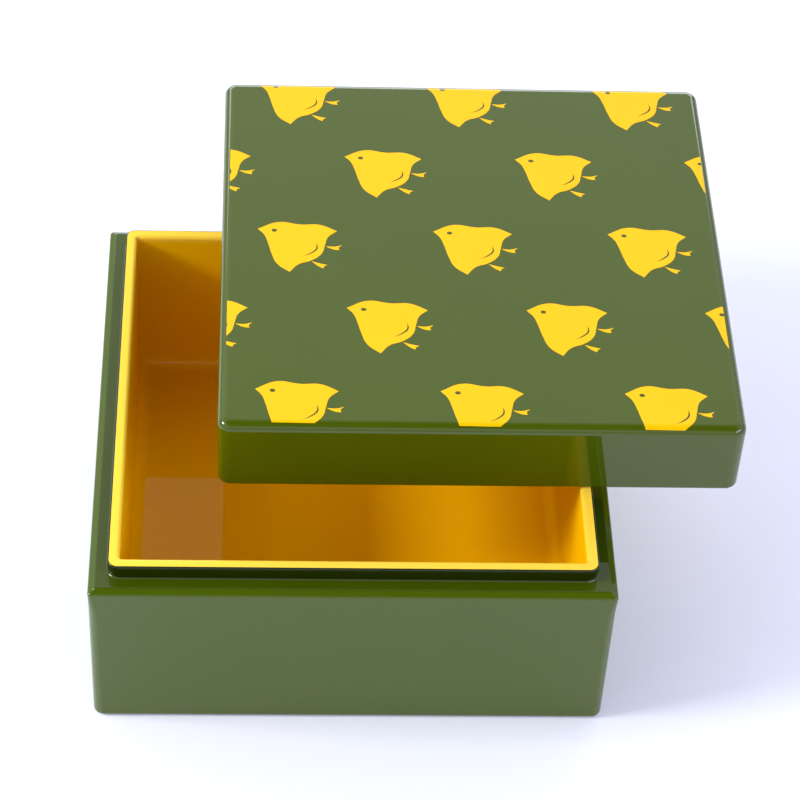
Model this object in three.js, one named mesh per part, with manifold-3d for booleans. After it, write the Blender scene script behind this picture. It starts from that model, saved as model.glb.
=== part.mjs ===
// Square lacquer box with a lift-off lid, which is laid askew on the open box.
//
// The box is a frame of four mitred wall boards round a floor panel. A liner of four
// thinner boards stands on the floor panel and rises past the walls as a lip. The lid is
// a panel let into four mitred rim boards. When the box is closed, the lid's rim drops
// over the lip and stands on the ledge that the wall boards leave round it.
//
// Millimetres, +Z up, X to the right and Y to the back. The origin is on the surface that
// the box stands on, under the middle of the box.

import * as THREE from "three";
import { mergeVertices } from "three/addons/utils/BufferGeometryUtils.js";
import Module from "manifold-3d";

// Driving dimensions: the box
const outerLength = 110; // left to right, over the walls
const outerDepth = 110; // front to back, over the walls
const shoulderHeight = 41.2; // from the table to the ledge that carries the closed lid
const wallThickness = 4; // wall boards, and so the width of the ledge
const wallCornerRadius = 2.2; // upright corners of the walls
const shoulderChamfer = 1.2; // flat arris along the top of the walls
const footRadius = 1.2; // rounded lower edge of the walls
const floorThickness = 3.5; // floor panel
const floorRabbet = 1.5; // how far the floor panel runs in under the walls

// Driving dimensions: the liner and its lip
const linerThickness = 2.5; // liner boards, and so the width of the lip
const lipHeight = 3.65; // how far the lip stands above the ledge
const lipCornerRadius = 2.2; // outer upright corners of the liner
const lipEdgeRadius = 0.4; // outer top edge of the lip
const cavityCornerRadius = 0.7; // inner upright corners of the liner
const coveRadius = 2.6; // hollow along the foot of each liner board

// Driving dimensions: the lid
const lidHeight = 18.2; // over the whole lid
const lidOverhang = 0.45; // how far the closed lid stands out past the walls, all round
const lidPanelThickness = 3.5; // the lid's top panel
const lidPanelRabbet = 1.4; // how far the top panel is let into the rim boards
const lidCornerRadius = 2.8; // upright corners of the lid
const lidTopRadius = 2; // rounded edge round the top of the lid
const lidFootRadius = 0.7; // rounded outer lower edge of the lid
const lidClearance = 0.3; // play all round between the lid's rim and the lip

// Driving dimensions: where the lid was laid, from its closed place
const laidRight = 26.7;
const laidBack = 27.5;

// Smoothness of the round edges, in steps for each quarter turn
const cornerSteps = 6;
const edgeSteps = 5;
const chamferSteps = 1;

// Extra length of a cutting body past the faces that it cuts
const overrun = 5;

// Sizes that follow from the driving dimensions
const lipTop = shoulderHeight + lipHeight;
const linerLength = outerLength - 2 * wallThickness;
const linerDepth = outerDepth - 2 * wallThickness;
const cavityLength = linerLength - 2 * linerThickness;
const cavityDepth = linerDepth - 2 * linerThickness;
const floorLength = linerLength + 2 * floorRabbet;
const floorDepth = linerDepth + 2 * floorRabbet;
const lidLength = outerLength + 2 * lidOverhang;
const lidDepth = outerDepth + 2 * lidOverhang;
const recessLength = linerLength + 2 * lidClearance;
const recessDepth = linerDepth + 2 * lidClearance;
const recessHeight = lidHeight - lidPanelThickness;
const lidPanelLength = recessLength + 2 * lidPanelRabbet;
const lidPanelDepth = recessDepth + 2 * lidPanelRabbet;
const mitreReach = wallThickness + linerThickness + coveRadius + overrun; // past every frame's inside

const wasm = await Module();
wasm.setup();

// A closed three.js geometry as a solid that can be joined and cut.
function toSolid(geometry) {
  geometry.deleteAttribute("normal");
  geometry.deleteAttribute("uv");
  const merged = mergeVertices(geometry);
  return new wasm.Manifold(new wasm.Mesh({
    numProp: 3,
    vertProperties: new Float32Array(merged.attributes.position.array),
    triVerts: new Uint32Array(merged.index.array),
  }));
}

// A solid as a three.js geometry with flat facets.
function toGeometry(solid) {
  const mesh = solid.getMesh();
  const geometry = new THREE.BufferGeometry();
  geometry.setAttribute("position", new THREE.BufferAttribute(mesh.vertProperties, mesh.numProp));
  geometry.setIndex(new THREE.BufferAttribute(mesh.triVerts, 1));
  const flat = geometry.toNonIndexed();
  flat.computeVertexNormals();
  return flat;
}

// The outline of a rectangle round the origin, with rounded corners where radius isn't 0.
function rectangle(length, depth, radius = 0) {
  const x = length / 2 - radius;
  const y = depth / 2 - radius;
  const corners = [[x, -y], [x, y], [-x, y], [-x, -y]];
  if (radius === 0) {
    return new THREE.Shape(corners.map(([cornerX, cornerY]) => new THREE.Vector2(cornerX, cornerY)));
  }
  const shape = new THREE.Shape();
  corners.forEach(([cornerX, cornerY], index) => {
    const startAngle = (index - 1) * Math.PI / 2;
    shape.absarc(cornerX, cornerY, radius, startAngle, startAngle + Math.PI / 2, false);
  });
  shape.closePath();
  return shape;
}

// A prism between two heights whose upper and lower edges are both eased alike: rounded
// when it has several edge steps, chamfered when it has one.
function prism({ shape, bottom, top, ease = 0, steps = edgeSteps }) {
  const geometry = new THREE.ExtrudeGeometry(shape, {
    depth: top - bottom - 2 * ease,
    curveSegments: cornerSteps,
    bevelEnabled: ease > 0,
    bevelThickness: ease,
    bevelSize: ease,
    bevelOffset: -ease,
    bevelSegments: steps,
  });
  geometry.translate(0, 0, bottom + ease);
  return toSolid(geometry);
}

// A prism whose upper and lower edges are eased differently.
function easedPrism({ shape, bottom, top, topEase, topSteps = edgeSteps, footEase }) {
  const topEased = prism({ shape, bottom: bottom - overrun, top, ease: topEase, steps: topSteps });
  const footEased = prism({ shape, bottom, top: top + overrun, ease: footEase });
  return topEased.intersect(footEased);
}

// Four boards from one frame: it is cut along the diagonals of its corners, so that each
// board is mitred at both ends. The diagonals run inwards from the corners of a rectangle
// of the given size.
function mitredBoards(frame, length, depth) {
  const { min, max } = frame.boundingBox();
  const reach = mitreReach;
  const out = overrun;
  const x = length / 2;
  const y = depth / 2;
  const outlines = {
    front: [[-x - out, -y - out], [x + out, -y - out], [x - reach, -y + reach], [-x + reach, -y + reach]],
    right: [[x + out, -y - out], [x + out, y + out], [x - reach, y - reach], [x - reach, -y + reach]],
    back: [[x + out, y + out], [-x - out, y + out], [-x + reach, y - reach], [x - reach, y - reach]],
    left: [[-x - out, y + out], [-x - out, -y - out], [-x + reach, -y + reach], [-x + reach, y - reach]],
  };
  const boards = {};
  for (const [side, outline] of Object.entries(outlines)) {
    const sector = prism({
      shape: new THREE.Shape(outline.map(([cornerX, cornerY]) => new THREE.Vector2(cornerX, cornerY))),
      bottom: min[2] - overrun,
      top: max[2] + overrun,
    });
    boards[side] = frame.intersect(sector);
  }
  return boards;
}

// Green lacquer, polished to a gloss, on every outer face.
function greenLacquer() {
  return new THREE.MeshStandardMaterial({ color: 0x4c5c22, roughness: 0.14, metalness: 0 });
}

// Yellow lacquer, polished to a gloss, inside the box and on the lip.
function yellowLacquer() {
  return new THREE.MeshStandardMaterial({ color: 0xf7c31e, roughness: 0.16, metalness: 0 });
}

function namedMesh(name, solid, material) {
  const mesh = new THREE.Mesh(toGeometry(solid), material);
  mesh.name = name;
  return mesh;
}

// The four wall boards, with the rabbet that the floor panel sits in.
function wallBoards() {
  const outside = easedPrism({
    shape: rectangle(outerLength, outerDepth, wallCornerRadius),
    bottom: 0,
    top: shoulderHeight,
    topEase: shoulderChamfer,
    topSteps: chamferSteps,
    footEase: footRadius,
  });
  const opening = prism({
    shape: rectangle(linerLength, linerDepth, lipCornerRadius),
    bottom: -overrun,
    top: shoulderHeight + overrun,
  });
  const floorSeat = prism({
    shape: rectangle(floorLength, floorDepth),
    bottom: -overrun,
    top: floorThickness,
  });
  const frame = outside.subtract(opening).subtract(floorSeat);
  return mitredBoards(frame, outerLength, outerDepth);
}

// The floor panel, flush with the feet of the walls.
function floorPanel() {
  return prism({ shape: rectangle(floorLength, floorDepth), bottom: 0, top: floorThickness });
}

// A long body that lies along Y on the floor panel and is as wide as given. Its long edges
// are rounded to the radius of the hollows.
function trough(width, length) {
  const height = lipTop + coveRadius + overrun - floorThickness;
  const geometry = new THREE.ExtrudeGeometry(rectangle(width, height, coveRadius), {
    depth: length,
    curveSegments: cornerSteps,
    bevelEnabled: false,
  });
  geometry.translate(0, height / 2, -length / 2);
  geometry.rotateX(Math.PI / 2);
  geometry.translate(0, 0, floorThickness);
  return geometry;
}

// The space inside the liner: upright sides with tight corners, which run down into the
// floor by a hollow along each side. The hollows meet in mitres at the corners.
function cavity() {
  const upright = prism({
    shape: rectangle(cavityLength, cavityDepth, cavityCornerRadius),
    bottom: floorThickness - overrun,
    top: lipTop + overrun,
  });
  const hollowsLeftAndRight = toSolid(trough(cavityLength, outerDepth));
  const hollowsFrontAndBack = toSolid(trough(cavityDepth, outerLength).rotateZ(Math.PI / 2));
  return upright.intersect(hollowsLeftAndRight).intersect(hollowsFrontAndBack);
}

// The four liner boards, whose upper edges are the lip and whose feet are hollowed out to
// run smoothly into the floor.
function linerBoards() {
  const outside = prism({
    shape: rectangle(linerLength, linerDepth, lipCornerRadius),
    bottom: floorThickness - overrun,
    top: lipTop,
    ease: lipEdgeRadius,
  });
  const aboveFloor = prism({
    shape: rectangle(outerLength, outerDepth),
    bottom: floorThickness,
    top: lipTop + overrun,
  });
  const frame = outside.intersect(aboveFloor).subtract(cavity());
  return mitredBoards(frame, outerLength, outerDepth);
}

// The four rim boards of the lid, with the recess that drops over the lip and the rabbet
// that the top panel sits in. The lid's own origin is in the plane of its lower edge.
function lidRimBoards() {
  const outside = easedPrism({
    shape: rectangle(lidLength, lidDepth, lidCornerRadius),
    bottom: 0,
    top: lidHeight,
    topEase: lidTopRadius,
    footEase: lidFootRadius,
  });
  const recess = prism({
    shape: rectangle(recessLength, recessDepth, lipCornerRadius + lidClearance),
    bottom: -overrun,
    top: lidHeight,
  });
  const panelSeat = prism({
    shape: rectangle(lidPanelLength, lidPanelDepth),
    bottom: recessHeight,
    top: lidHeight + overrun,
  });
  const frame = outside.subtract(recess).subtract(panelSeat);
  return mitredBoards(frame, lidLength, lidDepth);
}

// The lid's top panel, flush with the upper faces of the rim boards.
function lidPanel() {
  return prism({ shape: rectangle(lidPanelLength, lidPanelDepth), bottom: recessHeight, top: lidHeight });
}

function box() {
  const group = new THREE.Group();
  for (const [side, board] of Object.entries(wallBoards())) {
    group.add(namedMesh(`wall_${side}`, board, greenLacquer()));
  }
  group.add(namedMesh("floor_panel", floorPanel(), yellowLacquer()));
  for (const [side, board] of Object.entries(linerBoards())) {
    group.add(namedMesh(`liner_${side}`, board, yellowLacquer()));
  }
  return group;
}

// The lid stands with its rim on top of the lip, moved to the right and to the back.
function lid() {
  const group = new THREE.Group();
  group.add(namedMesh("lid_panel", lidPanel(), greenLacquer()));
  for (const [side, board] of Object.entries(lidRimBoards())) {
    group.add(namedMesh(`lid_rim_${side}`, board, greenLacquer()));
  }
  group.position.set(laidRight, laidBack, lipTop);
  return group;
}

const lacquerBox = new THREE.Group();
lacquerBox.add(box(), lid());

export default lacquerBox;
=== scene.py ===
import math

import bmesh
import bpy
from mathutils import Matrix, Vector


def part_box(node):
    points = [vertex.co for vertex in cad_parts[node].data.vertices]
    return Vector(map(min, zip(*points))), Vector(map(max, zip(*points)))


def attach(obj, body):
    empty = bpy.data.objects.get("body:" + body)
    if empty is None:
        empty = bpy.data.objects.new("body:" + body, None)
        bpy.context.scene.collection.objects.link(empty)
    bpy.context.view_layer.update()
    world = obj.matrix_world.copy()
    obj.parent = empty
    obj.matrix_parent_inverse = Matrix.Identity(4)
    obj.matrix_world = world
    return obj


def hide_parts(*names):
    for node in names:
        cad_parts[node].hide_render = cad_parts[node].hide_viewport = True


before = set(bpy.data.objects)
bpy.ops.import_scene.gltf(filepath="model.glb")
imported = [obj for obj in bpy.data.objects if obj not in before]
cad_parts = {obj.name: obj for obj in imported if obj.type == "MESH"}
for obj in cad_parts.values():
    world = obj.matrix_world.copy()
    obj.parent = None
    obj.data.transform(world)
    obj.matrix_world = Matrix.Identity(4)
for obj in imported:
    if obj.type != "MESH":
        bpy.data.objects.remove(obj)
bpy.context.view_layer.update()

scene = bpy.context.scene
scene.view_settings.view_transform = "Standard"

# Camera
# The photograph was taken from above the front of the box with a long lens, which looks
# down at about 46 degrees and a little to the right, and leans slightly.
IMAGE_WIDTH = 800  # pixels
FOCAL_LENGTH = 2827  # pixels
SENSOR_WIDTH = 36  # mm
NEAREST = 0.01  # m, where the camera starts to see
camera_place = Vector((-0.02037, -0.42956, 0.48963))
look_down = math.radians(46.09)
look_right = math.radians(4.156)
lean = math.radians(3.641)

forward = Vector((
    math.sin(look_right) * math.cos(look_down),
    math.cos(look_right) * math.cos(look_down),
    -math.sin(look_down),
))
level_right = Vector((math.cos(look_right), -math.sin(look_right), 0))
level_up = level_right.cross(forward)
camera_right = math.cos(lean) * level_right + math.sin(lean) * level_up
camera_up = math.cos(lean) * level_up - math.sin(lean) * level_right

camera_data = bpy.data.cameras.new("camera")
camera_data.sensor_width = SENSOR_WIDTH
camera_data.lens = FOCAL_LENGTH / IMAGE_WIDTH * SENSOR_WIDTH
camera_data.clip_start = NEAREST
camera = bpy.data.objects.new("camera", camera_data)
camera.matrix_world = Matrix.LocRotScale(
    camera_place,
    Matrix((camera_right, camera_up, -forward)).transposed(),
    None,
)
scene.collection.objects.link(camera)
scene.camera = camera

# Outside of the box: one green skin of lacquer over the wall boards, the ledge and the
# outer face of the lip. Mitred boards are glued up, filled, lacquered and polished, so no
# joint shows. The lacquer softens every arris and pools along the foot of the lip.
MM = 0.001
ROUND_STEPS = 10  # facets in a quarter turn of an upright corner
EASE_STEPS = 6  # facets in each eased edge
SHARP_ANGLE = math.radians(35)  # edges that turn by more than this stay crisp
FILM = 0.08 * MM  # how far the yellow lacquer stands above the green
TUCK = 0.1 * MM  # how far the green runs in behind the yellow
LID_GAP = 0.02 * MM  # keeps the top of the lip clear of the lid that rests on it

wall_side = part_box("wall_right")[1]
liner_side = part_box("liner_right")[1]
box_length = 2 * wall_side.x
shoulder = wall_side.z
ledge = wall_side.x - liner_side.x
lip_top = liner_side.z - LID_GAP
floor_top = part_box("floor_panel")[1].z
lip_width = 2.5 * MM
wall_corner = 2.2 * MM
lip_corner = 2.2 * MM
lip_foot_corner = 2.8 * MM
cavity_corner = 0.7 * MM
foot_ease = 1.2 * MM
arris_inset = 1.45 * MM  # the arris of the shoulder is a shallow slope
arris_drop = 0.85 * MM
arris_ease = 0.7 * MM
arris_corner = 0.4 * MM  # the corners of the ledge stay crisp
shoulder_corner = 0.9 * MM  # and the walls' corners grow rounder below them
rounding_run = 7 * MM
lip_foot_ease = 0.5 * MM
lip_ease = 0.2 * MM
mouth_ease = 0.8 * MM
TIGHTEST = 0.25 * MM  # the smallest corner that lacquer leaves
mouth = ledge + lip_width  # from the outer faces in to the opening
lip_painted_shade_start = shoulder - 0.2 * MM  # painted shade: the green is darkened from the ledge up the lip's outer face, which lies in shade
lip_painted_shade_full = shoulder + 0.6 * MM


def eased(section):
    """The rings of a section: (inset, height, corner) at each step, where every corner of
    the section, given as (inset, height, plan corner, ease), is rounded by its ease."""
    rings = []
    last = len(section) - 1
    for index, (inset, height, corner, ease) in enumerate(section):
        if ease == 0 or index in (0, last):
            rings.append((inset, height, corner))
            continue
        point = Vector((inset, height))
        before = (Vector(section[index - 1][:2]) - point).normalized()
        after = (Vector(section[index + 1][:2]) - point).normalized()
        opening = before.angle(after)
        reach = ease / math.tan(opening / 2)
        centre = point + (before + after).normalized() * ease / math.sin(opening / 2)
        start = point + before * reach - centre
        end = point + after * reach - centre
        for step in range(EASE_STEPS + 1):
            spot = centre + start.slerp(end, step / EASE_STEPS).normalized() * ease
            rings.append((spot.x, spot.y, max(corner - (spot.x - inset), TIGHTEST)))
    return rings


def lofted(name, length, section, centre=(0, 0)):
    """A closed mesh through the rings of a section, which are squares with rounded corners:
    the first is a face, its edges are drawn out from ring to ring, and the last is filled."""
    bm = bmesh.new()
    rings = eased(section)
    inset, height, corner = rings[0]
    side = length - 2 * inset
    place = Matrix.Translation((centre[0], centre[1], height))
    place @= Matrix.Diagonal((side, side, 1, 1))
    verts = bmesh.ops.create_grid(bm, x_segments=1, y_segments=1, size=0.5, matrix=place)["verts"]
    bmesh.ops.bevel(
        bm, geom=verts, offset=corner, offset_type="OFFSET", affect="VERTICES",
        segments=ROUND_STEPS, profile=0.5, material=-1,
    )
    loop = bm.edges[:]
    for (inset, _, corner), (new_inset, new_height, new_corner) in zip(rings, rings[1:]):
        drawn = bmesh.ops.extrude_edge_only(bm, edges=loop)["geom"]
        verts = [part for part in drawn if isinstance(part, bmesh.types.BMVert)]
        loop = [part for part in drawn if isinstance(part, bmesh.types.BMEdge)]
        straight = length / 2 - inset - corner
        new_straight = length / 2 - new_inset - new_corner
        for vert in verts:
            vert.co.z = new_height
            for axis in (0, 1):
                out = vert.co[axis] - centre[axis]
                new_out = new_straight + (abs(out) - straight) * new_corner / corner
                vert.co[axis] = centre[axis] + math.copysign(new_out, out)
    bmesh.ops.holes_fill(bm, edges=loop, sides=0)
    bmesh.ops.recalc_face_normals(bm, faces=bm.faces)
    return finished(name, bm)


def finished(name, bm):
    """The bmesh as an object, smooth but for its sharp edges, with flat faces kept flat."""
    mesh = bpy.data.meshes.new(name)
    bm.to_mesh(mesh)
    bm.free()
    mesh.shade_smooth()
    mesh.set_sharp_from_angle(angle=SHARP_ANGLE)
    piece = bpy.data.objects.new(name, mesh)
    scene.collection.objects.link(piece)
    weighted = piece.modifiers.new("flat faces", "WEIGHTED_NORMAL")
    weighted.keep_sharp = True
    return piece


def linear(colour):
    """An sRGB hex colour as the linear values that a shader takes."""
    channels = [int(colour[start:start + 2], 16) / 255 for start in (1, 3, 5)]
    return [c / 12.92 if c <= 0.04045 else ((c + 0.055) / 1.055) ** 2.4 for c in channels] + [1]


def add_node(tree, kind, settings=(), **links):
    """One node: its settings are attributes or inputs, and each link goes to an input."""
    node = tree.nodes.new(kind)
    for key, value in dict(settings).items():
        if key in node.inputs:
            node.inputs[key].default_value = value
        else:
            setattr(node, key, value)
    for key, socket in links.items():
        tree.links.new(socket, node.inputs[key.replace("_", " ")])
    return node


LACQUER_IOR = 1.5
COAT_ROUGHNESS = 0.03
CLOUD_WIDTH = 18 * MM  # faint clouds in the colour
RUB_SPACING = 1.5 * MM  # rubbing marks, drawn as coarse as they need to be to show
RUB_SPREAD = 0.04  # how far they vary the roughness
RIPPLE_SPACING = 9 * MM
RIPPLE_DEPTH = 0.01 * MM
RIPPLE_STRENGTH = 0.3


def polished_lacquer(name, light, dark, sheen, polish):
    """Lacquer that was brushed on and rubbed to a gloss. It gives the eye an even colour
    with faint clouds, under a clear skin that mirrors the room with a very slight ripple.
    All the mirroring is in the clear skin, so the colour below it has none."""
    material = bpy.data.materials.new(name)
    material.use_nodes = True
    tree = material.node_tree
    shader = tree.nodes["Principled BSDF"]
    shader.inputs["IOR"].default_value = LACQUER_IOR
    shader.inputs["Coat Weight"].default_value = polish
    shader.inputs["Coat Roughness"].default_value = COAT_ROUGHNESS
    shader.inputs["Coat IOR"].default_value = LACQUER_IOR
    shader.inputs["Specular IOR Level"].default_value = 0
    place = add_node(tree, "ShaderNodeTexCoord").outputs["Object"]
    cloud = add_node(
        tree, "ShaderNodeTexNoise", {"Scale": 1 / CLOUD_WIDTH, "Detail": 3}, Vector=place,
    )
    tint = add_node(tree, "ShaderNodeMix", {"data_type": "RGBA"})
    tree.links.new(cloud.outputs["Fac"], tint.inputs["Factor"])
    for socket, colour in zip([s for s in tint.inputs if s.type == "RGBA"], (dark, light)):
        socket.default_value = linear(colour)
    tree.links.new([s for s in tint.outputs if s.type == "RGBA"][0], shader.inputs["Base Color"])
    rub = add_node(
        tree, "ShaderNodeTexNoise", {"Scale": 1 / RUB_SPACING, "Detail": 2}, Vector=place,
    )
    gloss = add_node(
        tree, "ShaderNodeMapRange", {"To Min": sheen - RUB_SPREAD, "To Max": sheen + RUB_SPREAD},
        Value=rub.outputs["Fac"],
    )
    tree.links.new(gloss.outputs["Result"], shader.inputs["Roughness"])
    ripple = add_node(
        tree, "ShaderNodeTexNoise", {"Scale": 1 / RIPPLE_SPACING, "Detail": 1}, Vector=place,
    )
    bump = add_node(
        tree, "ShaderNodeBump", {"Strength": RIPPLE_STRENGTH, "Distance": RIPPLE_DEPTH},
        Height=ripple.outputs["Fac"],
    )
    tree.links.new(bump.outputs["Normal"], shader.inputs["Normal"])
    tree.links.new(bump.outputs["Normal"], shader.inputs["Coat Normal"])
    return material


def painted_shade_between(material, start, full, tint):
    """Paints shade into the lacquer: multiplies its colour by a darker tint, which comes in
    between two heights.
    """
    tree = material.node_tree
    base = tree.nodes["Principled BSDF"].inputs["Base Color"]
    place = add_node(tree, "ShaderNodeTexCoord").outputs["Object"]
    height = add_node(tree, "ShaderNodeSeparateXYZ", Vector=place).outputs["Z"]
    part = add_node(
        tree, "ShaderNodeMapRange", {"From Min": start, "From Max": full}, Value=height,
    )
    mix = add_node(tree, "ShaderNodeMix", {"data_type": "RGBA", "blend_type": "MULTIPLY"})
    tree.links.new(part.outputs["Result"], mix.inputs["Factor"])
    first, second = [s for s in mix.inputs if s.type == "RGBA"]
    tree.links.new(base.links[0].from_socket, first)
    second.default_value = linear(tint)
    tree.links.new([s for s in mix.outputs if s.type == "RGBA"][0], base)


green_lacquer = polished_lacquer("polished olive green lacquer", "#425502", "#3f5102", 0.22, 1.0)
# Painted shade: the green of the lip's outer face is multiplied darker, for the shade that lies
# on it.
painted_shade_between(green_lacquer, lip_painted_shade_start, lip_painted_shade_full, "#7a7a7a")

box_outside = lofted("box_outside", box_length, [
    (mouth - mouth_ease, floor_top - 3 * TUCK, cavity_corner + mouth_ease, 0),
    (mouth - mouth_ease, lip_top - FILM, cavity_corner + mouth_ease, 0),
    (ledge, lip_top - FILM, lip_corner, lip_ease),
    (ledge, shoulder, lip_foot_corner, lip_foot_ease),
    (arris_inset, shoulder, arris_corner, arris_ease),
    (0, shoulder - arris_drop, shoulder_corner, arris_ease),
    (0, shoulder - rounding_run, wall_corner, 0),
    (0, 0, wall_corner, foot_ease),
    (foot_ease, 0, wall_corner - foot_ease, 0),
])
box_outside.data.materials.append(green_lacquer)
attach(box_outside, "box")
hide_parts("wall_front", "wall_right", "wall_back", "wall_left")

# Inside of the box: one yellow skin of lacquer over the liner boards and the floor. It is
# brushed over the top of the lip and stops just short of the outer arris, where the green
# shows as a thin dark line.
SKIN = 0.5 * MM  # thickness that the yellow skin is modelled with
PAINT_EASE = 0.05 * MM
paint_margin = 0.32 * MM
cove = 2.6 * MM
yellow_painted_shade_start = lip_top - 0.3 * MM  # painted shade: the yellow is deepened towards orange from the lip down the inner wall, for the shade and warm bounced light inside the box
yellow_painted_shade_full = lip_top - 2 * MM

yellow_lacquer = polished_lacquer("polished yellow lacquer", "#f8cd40", "#f5ca3e", 0.2, 0.35)
# Painted shade: below the lip the inside walls get a deeper, more orange yellow, for the shade
# and warm bounced light in the box.
painted_shade_between(yellow_lacquer, yellow_painted_shade_start, yellow_painted_shade_full, "#fbee10")

box_lining = lofted("box_lining", box_length, [
    (mouth - SKIN, floor_top - SKIN, cavity_corner + SKIN, 0),
    (mouth - SKIN, lip_top - SKIN, cavity_corner + SKIN, 0),
    (ledge + paint_margin, lip_top - SKIN, lip_corner - paint_margin, 0),
    (ledge + paint_margin, lip_top, lip_corner - paint_margin, PAINT_EASE),
    (mouth, lip_top, cavity_corner, mouth_ease),
    (mouth, floor_top, cavity_corner, cove),
    (mouth + cove, floor_top, TIGHTEST, 0),
])
box_lining.data.materials.append(yellow_lacquer)
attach(box_lining, "box")
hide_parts("liner_front", "liner_right", "liner_back", "liner_left", "floor_panel")

# Outside of the lid: one green skin of lacquer over the top panel and the rim boards, with
# a soft round edge and soft corners. It lies askew on the lip of the box.
PRINT_FILM = 0.05 * MM  # thickness of the printed plovers
lid_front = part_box("lid_rim_front")[0]
lid_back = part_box("lid_rim_back")[1]
lid_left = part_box("lid_rim_left")[0]
lid_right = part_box("lid_rim_right")[1]
lid_centre = ((lid_left.x + lid_right.x) / 2, (lid_front.y + lid_back.y) / 2)
lid_length = lid_right.x - lid_left.x
lid_foot = lid_front.z
lid_top = lid_back.z - PRINT_FILM
lid_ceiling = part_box("lid_panel")[0].z
lid_play = 0.3 * MM
recess = lid_length / 2 - liner_side.x - lid_play  # from the outer faces in to the recess
lid_corner = 2.8 * MM
lid_top_ease = 2.0 * MM
lid_foot_ease = 0.7 * MM
recess_mouth_ease = 0.3 * MM
recess_corner = lip_corner + lid_play

lid_outside = lofted("lid_outside", lid_length, [
    (recess - TUCK, lid_ceiling + TUCK, recess_corner + TUCK, 0),
    (recess - TUCK, lid_foot, recess_corner + TUCK, recess_mouth_ease),
    (0, lid_foot, lid_corner, lid_foot_ease),
    (0, lid_top, lid_corner, lid_top_ease),
    (lid_top_ease, lid_top, lid_corner - lid_top_ease, 0),
], lid_centre)
# Painted shade: the lid gets a slightly darker copy of the box's green, which dims the lid's
# brightly lit top.
shaded_lid_lacquer = polished_lacquer(
    "polished olive green lacquer, shaded copy for the lid", "#415202", "#3e4e02", 0.22, 1.0,
)
lid_outside.data.materials.append(shaded_lid_lacquer)
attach(lid_outside, "lid")
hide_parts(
    "lid_panel", "lid_rim_front", "lid_rim_right", "lid_rim_back", "lid_rim_left",
)

# Inside of the lid: a yellow skin of lacquer over the recess, like the inside of the box.
# It stops a little above the lid's lower edge.
lining_edge = 0.9 * MM
lid_cove = 0.6 * MM

lid_lining = lofted("lid_lining", lid_length, [
    (recess + lid_cove, lid_ceiling, recess_corner - lid_cove, 0),
    (recess, lid_ceiling, recess_corner, lid_cove),
    (recess, lid_foot + lining_edge, recess_corner, PAINT_EASE),
    (recess - SKIN, lid_foot + lining_edge, recess_corner + SKIN, 0),
    (recess - SKIN, lid_ceiling + SKIN, recess_corner + SKIN, 0),
], lid_centre)
lid_lining.data.materials.append(yellow_lacquer)
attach(lid_lining, "lid")
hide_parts("lid_panel")

# Plovers: the traditional flock of small wading birds, printed in yellow on the lid in
# rows that are set off by half a step. The print is cut off where the lid's top rounds
# over. The eye and the wing are left bare, so that the green shows through.
STEP_RIGHT = 38.95 * MM
STEP_BACK = 24.67 * MM
print_centre = (0.43 * MM, -0.9 * MM)
print_turn = math.radians(-0.2)  # the print lies very slightly askew
# The sides of the printed square: the way out, the way that the cut edge faces, and the
# distance from the middle. The front edge runs askew and reaches on to the rounding.
print_sides = [
    ((1, 0, 0), (1, 0, 0), 53.9 * MM), ((-1, 0, 0), (-1, 0, 0), 53.9 * MM),
    ((0, 1, 0), (0, 1, 0), 53.9 * MM), ((0, -1, 0), (-0.008, -1, 0), 54.5 * MM),
]
flat_reach = lid_length / 2 - lid_top_ease
BEND_CUTS = 6  # cuts along each side, where the print bends over the lid's edge
BEND_STEP = 0.25 * MM
FARTHEST_STEP = 2  # rows and columns on each side of the middle plover
MERGE_DISTANCE = 0.001 * MM
PRINT_SINK = 0.002 * MM  # keeps the print's top just under the lid's full height

OUTLINE_UNIT = 0.985 * MM

# The outline runs round the bird from the beak: x, y in outline units, and whether the
# point is sharp.
plover_body = [
    (-9.1, 5.5, True), (-4.5, 7.8, False), (0.6, 7.1, False), (4.8, 7.1, False),
    (8.7, 5.1, True), (6.7, 3.1, False), (6.0, 0.6, False), (5.2, -2.4, False),
    (2.9, -4.6, False), (0.1, -5.9, False), (-1.9, -8.4, True), (-4.7, -5.8, False),
    (-6.0, -2.3, False), (-6.8, 1.0, False), (-7.7, 3.7, False),
]
plover_wing = [(4.0, 1.3, True), (4.35, -0.75, False), (3.05, -2.3, False), (0.9, -3.35, True),
               (2.85, -2.0, False), (3.95, -0.65, False)]
plover_legs = [
    [(6.1, 0.1, True), (8.2, 0.0, False), (9.8, 0.5, True), (9.0, -0.3, True),
     (9.2, -1.1, True), (8.0, -0.95, False)],
    [(3.0, -4.9, True), (5.0, -5.6, False), (6.5, -6.0, True), (5.8, -6.4, True),
     (5.6, -7.1, True), (4.6, -6.5, False)],
]
plover_eye = (-5.4, 5.1)
EYE_WIDTH = 1.25
EYE_HEIGHT = 1.05


def add_outline(curve, points):
    """A closed outline of the flat curve, through points that are sharp or smooth."""
    spline = curve.splines.new("BEZIER")
    spline.bezier_points.add(len(points) - 1)
    spline.use_cyclic_u = True
    spline.resolution_u = 8
    for knot, (x, y, sharp) in zip(spline.bezier_points, points):
        knot.co = (x * OUTLINE_UNIT, y * OUTLINE_UNIT, 0)
        knot.handle_left_type = knot.handle_right_type = "VECTOR" if sharp else "AUTO"


def plover_sheet():
    """One flat plover as a mesh, with holes for the eye and the wing."""
    curve = bpy.data.curves.new("plover", "CURVE")
    curve.dimensions = "2D"
    curve.fill_mode = "BOTH"
    add_outline(curve, plover_body)
    add_outline(curve, plover_wing)
    for leg in plover_legs:
        add_outline(curve, leg)
    eye_x, eye_y = plover_eye
    add_outline(curve, [
        (eye_x - EYE_WIDTH / 2, eye_y, False), (eye_x, eye_y + EYE_HEIGHT / 2, False),
        (eye_x + EYE_WIDTH / 2, eye_y, False), (eye_x, eye_y - EYE_HEIGHT / 2, False),
    ])
    holder = bpy.data.objects.new("plover", curve)
    mesh = bpy.data.meshes.new_from_object(holder)
    bpy.data.objects.remove(holder)
    return mesh


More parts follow.
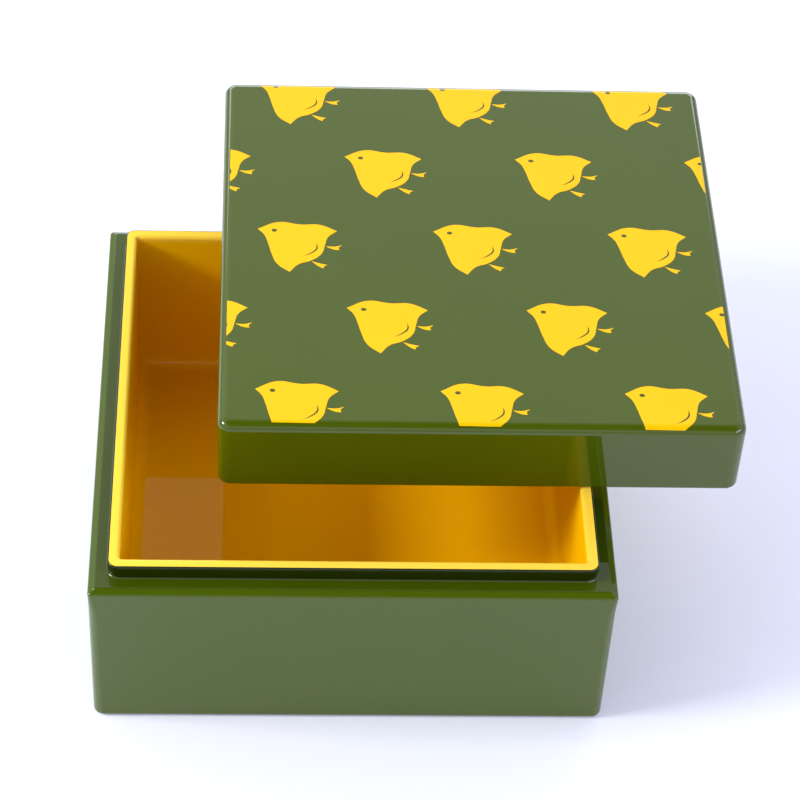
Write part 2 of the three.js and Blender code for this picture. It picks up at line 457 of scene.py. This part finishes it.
plover = plover_sheet()
bm = bmesh.new()
for row in range(-FARTHEST_STEP, FARTHEST_STEP + 1):
    shift = 0.5 if row % 2 else 0
    for column in range(-FARTHEST_STEP, FARTHEST_STEP + 1):
        start = len(bm.verts)
        bm.from_mesh(plover)
        bm.verts.ensure_lookup_table()
        place = Vector((
            print_centre[0] + (column + shift) * STEP_RIGHT,
            print_centre[1] + row * STEP_BACK,
            0,
        ))
        bmesh.ops.translate(bm, verts=bm.verts[start:], vec=place)
bmesh.ops.remove_doubles(bm, verts=bm.verts, dist=MERGE_DISTANCE)
bmesh.ops.rotate(bm, verts=bm.verts, matrix=Matrix.Rotation(print_turn, 3, "Z"))
for side, facing, reach in print_sides:
    across = Vector(side)
    bmesh.ops.bisect_plane(
        bm, geom=bm.verts[:] + bm.edges[:] + bm.faces[:],
        plane_co=across * reach, plane_no=facing, clear_outer=True,
    )
    for cut in range(BEND_CUTS):
        bmesh.ops.bisect_plane(
            bm, geom=bm.verts[:] + bm.edges[:] + bm.faces[:],
            plane_co=across * (flat_reach + cut * BEND_STEP), plane_no=across,
        )
for vert in bm.verts:
    over = max(abs(vert.co.x), abs(vert.co.y), flat_reach) - flat_reach
    vert.co.z = math.sqrt(lid_top_ease ** 2 - over ** 2) - lid_top_ease
raised = bmesh.ops.extrude_face_region(bm, geom=bm.faces[:], use_keep_orig=True)["geom"]
raised_verts = [part for part in raised if isinstance(part, bmesh.types.BMVert)]
base_verts = [vert for vert in bm.verts if vert not in set(raised_verts)]
bmesh.ops.translate(bm, verts=raised_verts, vec=(0, 0, PRINT_FILM))
bmesh.ops.translate(bm, verts=base_verts, vec=(0, 0, -PRINT_FILM))
bmesh.ops.recalc_face_normals(bm, faces=bm.faces)
bmesh.ops.translate(bm, verts=bm.verts, vec=(*lid_centre, lid_top - PRINT_SINK))
plovers = finished("printed_plovers", bm)
# Screen-printed lacquer lies in a thin even film, a little duller than the rubbed lacquer.
yellow_print = polished_lacquer("yellow screen-printed lacquer", "#f3b704", "#f0b403", 0.25, 0.5)
plovers.data.materials.append(yellow_print)
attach(plovers, "lid")
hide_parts("lid_panel")

# Floor: a plain pale sheet of matt paper, wide enough to fill the view. Matt paper mirrors
# nothing, so it gives the eye only soft, even shading.
FLOOR_SIZE = 6.0  # m
PAPER_ROUGHNESS = 0.9
bm = bmesh.new()
bmesh.ops.create_grid(bm, x_segments=1, y_segments=1, size=FLOOR_SIZE / 2)
floor_mesh = bpy.data.meshes.new("floor")
bm.to_mesh(floor_mesh)
bm.free()
floor = bpy.data.objects.new("floor", floor_mesh)
scene.collection.objects.link(floor)
paper = bpy.data.materials.new("matt white paper")
paper.use_nodes = True
paper_shader = paper.node_tree.nodes["Principled BSDF"]
paper_shader.inputs["Base Color"].default_value = linear("#eceffa")
paper_shader.inputs["Roughness"].default_value = PAPER_ROUGHNESS
floor.data.materials.append(paper)

# Light: a bright room whose ceiling is dark over the camera. A low window on the left throws
# the shadow, wide windows behind and on the right fill it in, and a small lamp high on the
# left puts glints on the corners.
sky_stops = [  # brightness of the room from the horizon (0) to straight up (1)
    (0, "#a0a2ae"), (0.25, "#bcbecb"), (0.45, "#eef1ff"), (0.62, "#f0f2fa"),
    (0.77, "#cacbd2"), (0.9, "#bebfc8"), (0.97, "#5c5d62"),
]
wall_light = {"From Min": -0.7, "From Max": 0.7, "To Min": 1.3, "To Max": 1.4}  # front to back
ceiling_way = (0, -0.36, 0.93)  # where the dark part of the ceiling lies
ceiling_light = {"From Min": 0.8, "From Max": 0.92, "To Min": 1, "To Max": 0.12}
window_aim = (0, 0, 0.03)  # about the middle of the box

world = bpy.data.worlds.new("bright room")
world.use_nodes = True
room = world.node_tree
toward = add_node(room, "ShaderNodeTexCoord").outputs["Generated"]
height = add_node(room, "ShaderNodeSeparateXYZ", Vector=toward).outputs["Z"]
sky = add_node(room, "ShaderNodeValToRGB", Fac=height)
while len(sky.color_ramp.elements) < len(sky_stops):
    sky.color_ramp.elements.new(0.5)
for stop, (at, colour) in zip(sky.color_ramp.elements, sky_stops):
    stop.position = at
    stop.color = linear(colour)
room.links.new(sky.outputs["Color"], room.nodes["Background"].inputs["Color"])
to_back = add_node(room, "ShaderNodeSeparateXYZ", Vector=toward).outputs["Y"]
walls = add_node(room, "ShaderNodeMapRange", wall_light, Value=to_back)
overhead = add_node(room, "ShaderNodeVectorMath", {"operation": "DOT_PRODUCT"}, Vector=toward)
overhead.inputs[1].default_value = ceiling_way
ceiling = add_node(room, "ShaderNodeMapRange", ceiling_light, Value=overhead.outputs["Value"])
strength = add_node(room, "ShaderNodeMath", {"operation": "MULTIPLY"})
room.links.new(walls.outputs["Result"], strength.inputs[0])
room.links.new(ceiling.outputs["Result"], strength.inputs[1])
room.links.new(strength.outputs["Value"], room.nodes["Background"].inputs["Strength"])
scene.world = world


def add_window(name, place, width, height, power, colour):
    """A soft rectangular light that faces the box: its size in m and its power in W."""
    light = bpy.data.lights.new(name, "AREA")
    light.shape = "RECTANGLE"
    light.size = width
    light.size_y = height
    light.energy = power
    light.color = linear(colour)[:3]
    lamp = bpy.data.objects.new(name, light)
    aim = (Vector(window_aim) - Vector(place)).to_track_quat("-Z", "Y")
    lamp.matrix_world = Matrix.LocRotScale(Vector(place), aim, None)
    scene.collection.objects.link(lamp)


add_window("left window", (-0.95, -0.13, 0.62), 0.4, 0.2, 12, "#fffaf0")
add_window("right window", (1.0, -0.86, 0.77), 1.2, 0.45, 10.3, "#e2e4ff")
add_window("upper left lamp", (-0.98, 0.13, 1.26), 0.06, 0.06, 0.7, "#ffffff")
add_window("back window", (0.0, 2.0, 0.8), 2.6, 1.0, 39, "#eef1ff")
